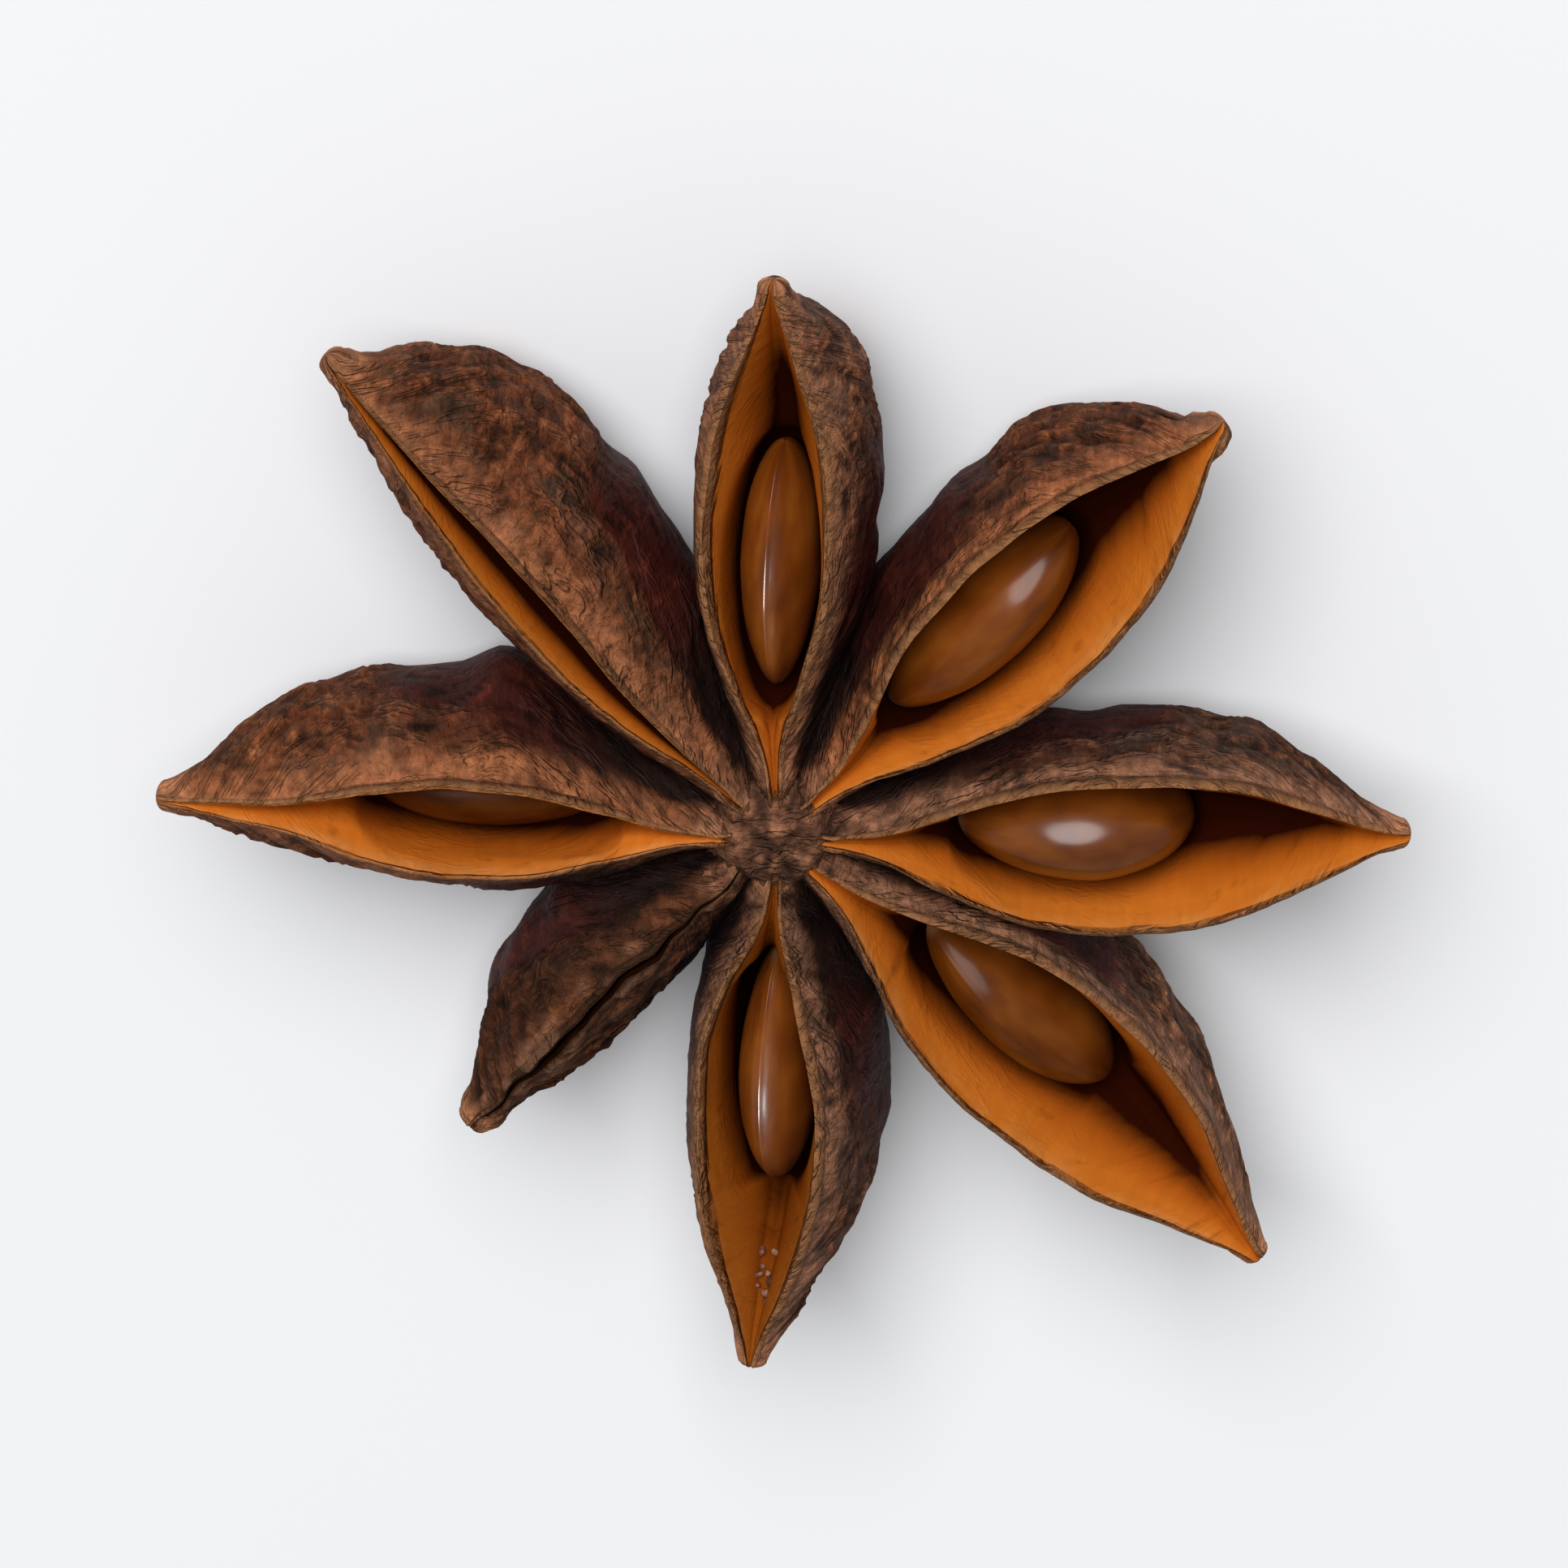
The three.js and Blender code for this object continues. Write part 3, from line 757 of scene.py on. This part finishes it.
def crumbs_mesh():
    """Crumbs of husk in the tip of the south follicle."""
    draw = np.random.default_rng(5)
    south = next(f for f in FOLLICLES if f.side == "south")
    all_points, all_faces = [], []
    for radius in 15.1 + 1.5 * draw.random(CRUMBS) ** 0.7:
        size = draw.uniform(0.06, 0.2)
        place = groove_place(south, radius, draw.uniform(-0.3, 0.3))
        points = crumb_points(size, draw) + place + [0, 0, 0.6 * size]
        faces = loft_faces(CRUMB_ROWS, CRUMB_SIDES)[:, ::-1] + sum(map(len, all_points))
        all_points.append(points)
        all_faces.append(faces)
    return turned_about_axis(np.concatenate(all_points), south.azimuth), np.concatenate(all_faces)


# ---- materials ------------------------------------------------------------------------------


class Graph:
    """Adds nodes to a new material. An input is a socket to link or a value to set."""

    def __init__(self, name):
        self.material = bpy.data.materials.new(name)
        self.material.use_nodes = True
        self.tree = self.material.node_tree
        self.shader = self.tree.nodes["Principled BSDF"]

    def feed(self, socket, value):
        if isinstance(value, bpy.types.NodeSocket):
            self.tree.links.new(value, socket)
        elif socket.type == "RGBA":
            socket.default_value = (*value, 1)
        else:
            socket.default_value = value

    def add(self, kind, inputs, **settings):
        node = self.tree.nodes.new(kind)
        for name, value in settings.items():
            setattr(node, name, value)
        for name, value in inputs.items():
            self.feed(node.inputs[name], value)
        return node

    def look(self, name):
        return self.add("ShaderNodeAttribute", {}, attribute_name=name).outputs["Fac"]

    def math(self, operation, a, b=0.5, clamp=False):
        return self.add("ShaderNodeMath", {0: a, 1: b}, operation=operation,
                        use_clamp=clamp).outputs[0]

    def place(self, a, b, c):
        return self.add("ShaderNodeCombineXYZ", {0: a, 1: b, 2: c}).outputs[0]

    def noise(self, place, along, across, detail=3.0, roughness=0.55, warp=0.0, shift=0.0):
        """Noise from 0 to 1 with features of these lengths in mm, along and across the fibres."""
        scaled = self.add("ShaderNodeVectorMath", {0: place, 1: (1 / along, 1 / across, 1)},
                          operation="MULTIPLY").outputs[0]
        moved = self.add("ShaderNodeVectorMath", {0: scaled, 1: (shift, 2 * shift, 3 * shift)},
                         operation="ADD").outputs[0]
        return self.add("ShaderNodeTexNoise", {
            "Vector": moved, "Scale": 1.0, "Detail": detail, "Roughness": roughness, "Distortion": warp,
        }).outputs["Fac"]

    def step(self, value, low, high):
        """Smoothly from 0 at low to 1 at high."""
        return self.add("ShaderNodeMapRange", {"Value": value, "From Min": low, "From Max": high},
                        interpolation_type="SMOOTHSTEP").outputs[0]

    def span(self, value, low, high):
        """A value from 0 to 1, as one from low to high."""
        return self.add("ShaderNodeMapRange", {"Value": value, "To Min": low, "To Max": high}).outputs[0]

    def mix(self, share, a, b, blend="MIX"):
        node = self.add("ShaderNodeMix", {0: share, 6: a, 7: b}, data_type="RGBA", blend_type=blend)
        return node.outputs[2]

    def ramp(self, value, stops):
        node = self.add("ShaderNodeValToRGB", {0: value})
        points = node.color_ramp.elements
        while len(points) < len(stops):
            points.new(0.5)
        for point, (place, colour) in zip(points, stops):
            point.position = place
            point.color = (*colour, 1)
        return node.outputs[0]

    def grey(self, value):
        return self.add("ShaderNodeCombineColor", {0: value, 1: value, 2: value}).outputs[0]

    def bump(self, height, distance, strength, normal=None):
        inputs = {"Height": height, "Distance": distance, "Strength": strength}
        if normal:
            inputs["Normal"] = normal
        return self.add("ShaderNodeBump", inputs).outputs[0]


# Colours are linear.
CHARCOAL = (0.017, 0.010, 0.0075)
UMBER = (0.046, 0.018, 0.0095)
BROWN = (0.112, 0.041, 0.018)
PALE_BROWN = (0.270, 0.125, 0.070)
SLATE = (0.050, 0.035, 0.029)
RUST = (0.150, 0.050, 0.022)
TAN = (0.400, 0.175, 0.070)
# The flank's own dark red, darkened further as painted shade.
DARK_RED = (0.030, 0.005, 0.003)
# Painted shade between the follicles near the hub.
VALLEY_BLACK = (0.010, 0.004, 0.003)
RED_BROWN = (0.066, 0.012, 0.006)
WARM_TINT = (1.12, 0.80, 0.52)
TIP_BROWN = (0.300, 0.125, 0.060)
HUB_DARK = (0.100, 0.042, 0.024)
HUB_PALE = (0.300, 0.130, 0.066)
INNER_BRIGHT = (0.490, 0.130, 0.013)
# A half shaded copy of the inside's colour, as painted shade.
INNER_MIDDLE = (0.340, 0.076, 0.006)
# Near black: painted shade deep in a split, and also the dark red patches.
INNER_DEEP = (0.024, 0.0035, 0.0008)
# Pale yellow, for a painted highlight along the rim and for yellow patches near it.
INNER_YELLOW = (0.600, 0.235, 0.060)
# Dark seed colour, also painted shade at the seeds' ends.
SEED_DARK = (0.055, 0.011, 0.001)
SEED_AMBER = (0.140, 0.034, 0.003)
SEED_LIGHT = (0.230, 0.070, 0.008)
SEED_SCAR = (0.300, 0.150, 0.070)


def husk_ridges(g, skin):
    """The thin ridges of the dry skin, from 0 to 1, that run into one another."""
    bent = g.noise(skin, 1.1, 0.42, detail=2, warp=0.6, shift=3.1)
    off = g.math("ABSOLUTE", g.math("SUBTRACT", bent, 0.5))
    patchy = g.step(g.noise(skin, 1.4, 1.2, shift=9.7), 0.4, 0.6)
    return g.math("MULTIPLY", g.step(off, 0.1, 0.0), patchy)


def outer_colour(g, spot, ridges):
    """The outside's colour, with painted light and shade. Spot is a place in mm, so its patches are as long as wide.
    """
    blotch = g.noise(spot, 1.3, 1.3, detail=2)
    mottle = g.noise(spot, 0.45, 0.45, detail=4, roughness=0.66, warp=0.4, shift=6.3)
    tone = g.math("ADD", g.math("MULTIPLY", blotch, 0.3), g.math("MULTIPLY", mottle, 0.7))
    colour = g.ramp(tone, [(0.36, CHARCOAL), (0.45, UMBER), (0.54, BROWN), (0.66, PALE_BROWN)])
    slate = g.step(g.noise(spot, 1.7, 1.7, detail=4, shift=4.1), 0.47, 0.6)
    colour = g.mix(g.math("MULTIPLY", slate, 0.6), colour, SLATE)
    rust = g.step(g.noise(spot, 0.9, 0.9, detail=4, roughness=0.65, shift=7.7), 0.47, 0.62)
    colour = g.mix(g.math("MULTIPLY", rust, g.math("MULTIPLY", g.look("warmth"), 0.6)), colour, RUST)
    colour = g.mix(g.math("MULTIPLY", ridges, 0.3), colour, PALE_BROWN)
    # Painted light and shade: a brightness for each follicle, scaled from darker near the hub to lighter at the
    # tips.
    outwards = g.span(g.step(g.look("reach"), 4.0, 15.0), 0.82, 1.25)
    light = g.math("MULTIPLY", g.look("light"), outwards)
    colour = g.mix(1.0, colour, g.grey(light), blend="MULTIPLY")
    patchy = g.span(g.noise(spot, 0.5, 0.5, detail=4, roughness=0.65, shift=1.1), -0.5, 1.6)
    near_lip = g.math("MULTIPLY", g.look("near_lip"), patchy, clamp=True)
    colour = g.mix(g.math("MULTIPLY", near_lip, g.look("pale_lip")), colour, PALE_BROWN)
    colour = g.mix(g.look("warmth"), colour, g.mix(1.0, colour, WARM_TINT, blend="MULTIPLY"))
    reddish = g.step(g.noise(spot, 0.6, 0.6, detail=4, shift=2.2), 0.52, 0.74)
    # The flank: its own dark red and red brown, with painted shade that turns near black by the hub.
    flank = g.mix(g.look("valley"), g.mix(reddish, DARK_RED, RED_BROWN), VALLEY_BLACK)
    colour = g.mix(g.look("flank"), colour, flank)
    colour = g.mix(g.math("MULTIPLY", g.look("keel"), 0.5), colour, PALE_BROWN)
    hub = g.mix(g.step(g.noise(spot, 0.6, 0.6, detail=4, shift=3.4), 0.42, 0.66), HUB_DARK, HUB_PALE)
    colour = g.mix(g.math("MULTIPLY", g.look("hub"), 0.9), colour, hub)
    colour = g.mix(g.math("MULTIPLY", g.look("tip"), 0.75), colour, TIP_BROWN)
    # Painted shade in the cracks of the relief and painted light on its crests, with a random speckle.
    shade = g.span(g.step(g.look("crest"), 0.1, 0.9), 0.3, 1.6)
    speck = g.span(g.noise(spot, 0.2, 0.2, detail=2, shift=5.5), 0.6, 1.4)
    colour = g.mix(1.0, colour, g.grey(g.math("MULTIPLY", shade, speck)), blend="MULTIPLY")
    worn = g.span(g.noise(spot, 0.4, 0.4, detail=3, shift=9.4), 0.1, 1.1)
    return g.mix(g.math("MULTIPLY", g.look("rim"), worn, clamp=True), colour, TAN)


def inner_colour(g, skin):
    depth = g.look("depth_inside")
    wander = g.span(g.noise(skin, 2.5, 1.2, detail=3, shift=3.3), -0.1, 0.1)
    # Painted shade: the deeper inside the split, the darker, from bright through half shade to near black.
    shade = g.math("ADD", depth, wander)
    colour = g.ramp(shade, [(0.3, INNER_BRIGHT), (0.6, INNER_MIDDLE), (0.95, INNER_DEEP)])
    # A painted highlight along the inside's upper edge, by the rim.
    edge = g.math("MULTIPLY", g.step(depth, 0.24, 0.04), g.step(wander, -0.04, 0.03))
    colour = g.mix(g.math("MULTIPLY", edge, 0.7), colour, INNER_YELLOW)
    yellow = g.step(g.noise(skin, 1.8, 0.9, detail=3, shift=1.2), 0.5, 0.72)
    high = g.step(depth, 0.4, 0.0)
    colour = g.mix(g.math("MULTIPLY", g.math("MULTIPLY", yellow, high), 0.5), colour, INNER_YELLOW)
    red = g.step(g.noise(skin, 0.9, 0.7, detail=4, shift=8.1), 0.58, 0.75)
    colour = g.mix(g.math("MULTIPLY", red, 0.3), colour, INNER_DEEP)
    cross_fibres = g.span(g.noise(skin, 0.22, 1.6, detail=3, shift=6.6), 0.88, 1.12)
    # Each follicle's painted light and shade on the inside, times the fibres across.
    bright = g.math("MULTIPLY", cross_fibres, g.look("glow"))
    return g.mix(1.0, colour, g.grey(bright), blend="MULTIPLY")


def husk_material(name, gloss):
    g = Graph(name)
    along, across, layer = g.look("along"), g.look("across"), g.look("layer")
    skin = g.place(along, across, layer)
    place = g.add("ShaderNodeTexCoord", {}).outputs["Object"]
    spot = g.add("ShaderNodeVectorMath", {0: place, 3: 1000.0}, operation="SCALE").outputs[0]
    lean = g.place(g.math("ADD", along, g.math("MULTIPLY", across, 0.6)), across, layer)
    inside = g.look("inside")
    ridges = husk_ridges(g, lean)
    g.feed(g.shader.inputs["Base Color"],
           g.mix(inside, outer_colour(g, spot, ridges), inner_colour(g, skin)))
    rough = g.span(g.noise(skin, 0.8, 0.3, shift=2.7), 0.65, 0.95)
    satin = g.math("MULTIPLY", inside, g.span(g.look("depth_inside"), 1.0, 0.1))
    smooth = g.math("MAXIMUM", satin, g.math("MULTIPLY", g.look("flank"), 0.7))
    g.feed(g.shader.inputs["Roughness"], g.math("MULTIPLY", rough, g.span(smooth, 1.0, 0.58)))
    g.feed(g.shader.inputs["Specular IOR Level"], gloss)
    grain = g.noise(spot, 0.4, 0.4, detail=4, roughness=0.6, warp=0.3, shift=3.9)
    height = g.math("ADD", grain, g.math("MULTIPLY", ridges, 0.45))
    height = g.math("MULTIPLY", height, g.span(g.math("MAXIMUM", inside, smooth), 1.0, 0.08))
    g.feed(g.shader.inputs["Normal"], g.bump(height, 0.0003, 1.0))
    return g.material


def seed_material(name, coat):
    """A seed's yellow-brown coat, more or less glossy, with painted light and shade."""
    g = Graph(name)
    place = g.place(g.math("MULTIPLY", g.look("along"), 4), g.math("MULTIPLY", g.look("aside"), 2),
                    g.math("MULTIPLY", g.look("number"), 3.7))
    cloud = g.noise(place, 2.4, 1.4, detail=2)
    colour = g.ramp(cloud, [(0.2, SEED_DARK), (0.48, SEED_AMBER), (0.8, SEED_LIGHT)])
    streak = g.span(g.noise(place, 2.6, 0.14, detail=2, shift=4.4), 0.9, 1.1)
    # Each seed's painted light and shade, times the streaks.
    bright = g.math("MULTIPLY", streak, g.look("amber"))
    colour = g.mix(1.0, colour, g.grey(bright), blend="MULTIPLY")
    # Painted shade towards the seed's ends, where it sinks into its pocket.
    end = g.step(g.math("ABSOLUTE", g.look("along")), 0.55, 1.0)
    colour = g.mix(g.math("MULTIPLY", end, 0.45), colour, SEED_DARK)
    colour = g.mix(g.math("MULTIPLY", g.look("scar"), 0.8), colour, SEED_SCAR)
    g.feed(g.shader.inputs["Base Color"], colour)
    g.feed(g.shader.inputs["Roughness"], g.span(g.noise(place, 0.8, 0.5, shift=1.7), 0.3, 0.4))
    g.feed(g.shader.inputs["Specular IOR Level"], 0.06)
    g.feed(g.shader.inputs["Subsurface Weight"], 0.2)
    g.feed(g.shader.inputs["Subsurface Radius"], (1.0, 0.35, 0.1))
    g.feed(g.shader.inputs["Subsurface Scale"], 0.0008)
    g.feed(g.shader.inputs["Coat Weight"], coat)
    g.feed(g.shader.inputs["Coat Roughness"], 0.19)
    g.feed(g.shader.inputs["Normal"], g.bump(g.noise(place, 1.1, 0.5, detail=3, shift=6.1), 0.00004, 0.5))
    return g.material


def crumb_material():
    g = Graph("crumb")
    place = g.add("ShaderNodeTexCoord", {}).outputs["Object"]
    cloud = g.add("ShaderNodeTexNoise", {"Vector": place, "Scale": 4000.0, "Detail": 2.0}).outputs["Fac"]
    colour = g.ramp(cloud, [(0.35, (0.08, 0.030, 0.018)), (0.5, (0.18, 0.075, 0.050)),
                            (0.65, (0.34, 0.17, 0.12))])
    g.feed(g.shader.inputs["Base Color"], colour)
    g.feed(g.shader.inputs["Roughness"], g.span(cloud, 0.5, 0.9))
    g.feed(g.shader.inputs["Specular IOR Level"], 0.05)
    return g.material


def floor_material():
    g = Graph("floor")
    place = g.add("ShaderNodeTexCoord", {}).outputs["Object"]
    cloud = g.add("ShaderNodeTexNoise", {"Vector": place, "Scale": 30.0}).outputs["Fac"]
    g.feed(g.shader.inputs["Base Color"],
           g.ramp(cloud, [(0.3, (0.90, 0.91, 0.935)), (0.7, (0.91, 0.92, 0.945))]))
    g.feed(g.shader.inputs["Roughness"], 0.8)
    return g.material


# ---- the pieces -----------------------------------------------------------------------------

SHARP_ANGLE = math.radians(55)
LINED_SEEDS = "lined_seeds"


def add_inside_material(mesh, inside):
    """Gives the faces within a split a material of their own, next to the outside's."""
    depth = np.empty(len(mesh.vertices), dtype=np.float32)
    mesh.attributes["depth_inside"].data.foreach_get("value", depth)
    corners = np.empty(3 * len(mesh.polygons), dtype=np.int32)
    mesh.polygons.foreach_get("vertices", corners)
    is_inside = depth[corners.reshape(-1, 3)].min(axis=1) > 0.02
    mesh.materials.append(inside)
    mesh.polygons.foreach_set("material_index", is_inside.astype(np.int32))


def finish_piece(thing, material, slot, offset, *nodes):
    """Puts a piece into the frame, on the part's only body, in place of its CAD nodes."""
    into_frame(thing, offset)
    thing.data.materials.clear()
    thing.data.materials.append(material)
    thing.data.shade_smooth()
    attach(thing, "root")
    if nodes:
        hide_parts(*nodes)


def build_pod():
    parts = [column_mesh(), *[follicle_mesh(i, f) for i, f in enumerate(FOLLICLES)]]
    seeds = {f.side: seed_mesh(i, f) for i, f in enumerate(FOLLICLES) if f.seed_at}
    offset = frame_offset(seeds)
    husk = united("pod_husk", parts)
    finish_piece(husk, husk_material("husk_outside", 0.12), "husk", offset, "pod")
    add_inside_material(husk.data, husk_material("husk_inside", 0.0))
    husk.data.set_sharp_from_angle(angle=SHARP_ANGLE)
    lined_seeds = bpy.data.collections.new(LINED_SEEDS)
    for f in FOLLICLES:
        if not f.seed_at:
            continue
        points, faces, looks = seeds[f.side]
        seed = add_object(f"seed_coat_{f.side}", points, faces)
        set_looks(seed.data, looks)
        finish_piece(seed, seed_material(f"seed_{f.side}", f.gloss), "seed", offset, f"seed_{f.side}")
        if f.line == 1:
            lined_seeds.objects.link(seed)
    crumbs = add_object("crumbs", *crumbs_mesh())
    finish_piece(crumbs, crumb_material(), "husk", offset)
    return husk


def frame_offset(seeds):
    """From the column's axis and the seam plane to the frame's origin, measured at the seeds."""
    shifts = []
    for side, (points, _, _) in seeds.items():
        low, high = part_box(f"seed_{side}")
        cad_middle = (np.array(low) + np.array(high)) / 2 * 1000
        shifts.append((cad_middle - (points.min(axis=0) + points.max(axis=0)) / 2)[:2])
    return np.append(np.mean(shifts, axis=0), SEAM_HEIGHT)


# ---- the studio -----------------------------------------------------------------------------

CAMERA_LEAN = math.radians(30)
CAMERA_DISTANCE = 0.32
VIEW_WIDTH = 0.0465
SENSOR_WIDTH = 36.0
KEY_DIRECTION = Vector((-0.15, 0.62, 0.79)).normalized()
KEY_DISTANCE = 1.5
KEY_SIZE = 1.15
KEY_POWER = 24.0
SKY_STRENGTH = 0.27
GLINT_DIRECTION = Vector((0.0, -0.5, 0.87)).normalized()
GLINT_SIZE = 0.8
GLINT_POWER = 105.0


def aimed(direction):
    """A turn that points -Z against a direction, with +Y upwards in the picture."""
    back = Vector(direction).normalized()
    right = Vector((0, 1, 0)).cross(back).normalized()
    return Matrix((right, back.cross(right), back)).transposed().to_quaternion()


def add_camera(target):
    data = bpy.data.cameras.new("camera")
    data.sensor_width = SENSOR_WIDTH
    data.lens = SENSOR_WIDTH * CAMERA_DISTANCE / VIEW_WIDTH
    data.clip_start = 0.01
    camera = bpy.data.objects.new("camera", data)
    direction = Vector((0, math.sin(CAMERA_LEAN), math.cos(CAMERA_LEAN)))
    camera.location = target + direction * CAMERA_DISTANCE
    camera.rotation_mode = "QUATERNION"
    camera.rotation_quaternion = aimed(direction)
    bpy.context.scene.collection.objects.link(camera)
    bpy.context.scene.camera = camera


def add_softbox(name, target, direction, distance, size, power):
    data = bpy.data.lights.new(name, "AREA")
    data.shape = "DISK"
    data.size = size
    data.energy = power
    light = bpy.data.objects.new(name, data)
    light.location = target + Vector(direction) * distance
    light.rotation_mode = "QUATERNION"
    light.rotation_quaternion = aimed(direction)
    bpy.context.scene.collection.objects.link(light)
    return light


def add_studio(target):
    floor = add_object("floor", [(-2, -2, 0), (2, -2, 0), (2, 2, 0), (-2, 2, 0)], [(0, 1, 2, 3)])
    floor.data.materials.append(floor_material())
    floor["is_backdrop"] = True
    add_softbox("key", target, KEY_DIRECTION, KEY_DISTANCE, KEY_SIZE, KEY_POWER)
    glint = add_softbox("glint", target, GLINT_DIRECTION, KEY_DISTANCE, GLINT_SIZE, GLINT_POWER)
    glint.visible_diffuse = False
    glint.light_linking.receiver_collection = bpy.data.collections[LINED_SEEDS]
    world = bpy.data.worlds.new("studio")
    world.use_nodes = True
    background = world.node_tree.nodes["Background"]
    background.inputs["Color"].default_value = (1, 1, 1, 1)
    background.inputs["Strength"].default_value = SKY_STRENGTH
    scene = bpy.context.scene
    scene.world = world
    scene.view_settings.view_transform = "Standard"
    scene.view_settings.look = "None"


build_pod()
low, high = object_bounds()
middle = (low + high) / 2
add_camera(middle)
add_studio(middle)

size = {"cad": [list(corner) for corner in cad_box], "visual": [list(corner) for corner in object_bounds()]}
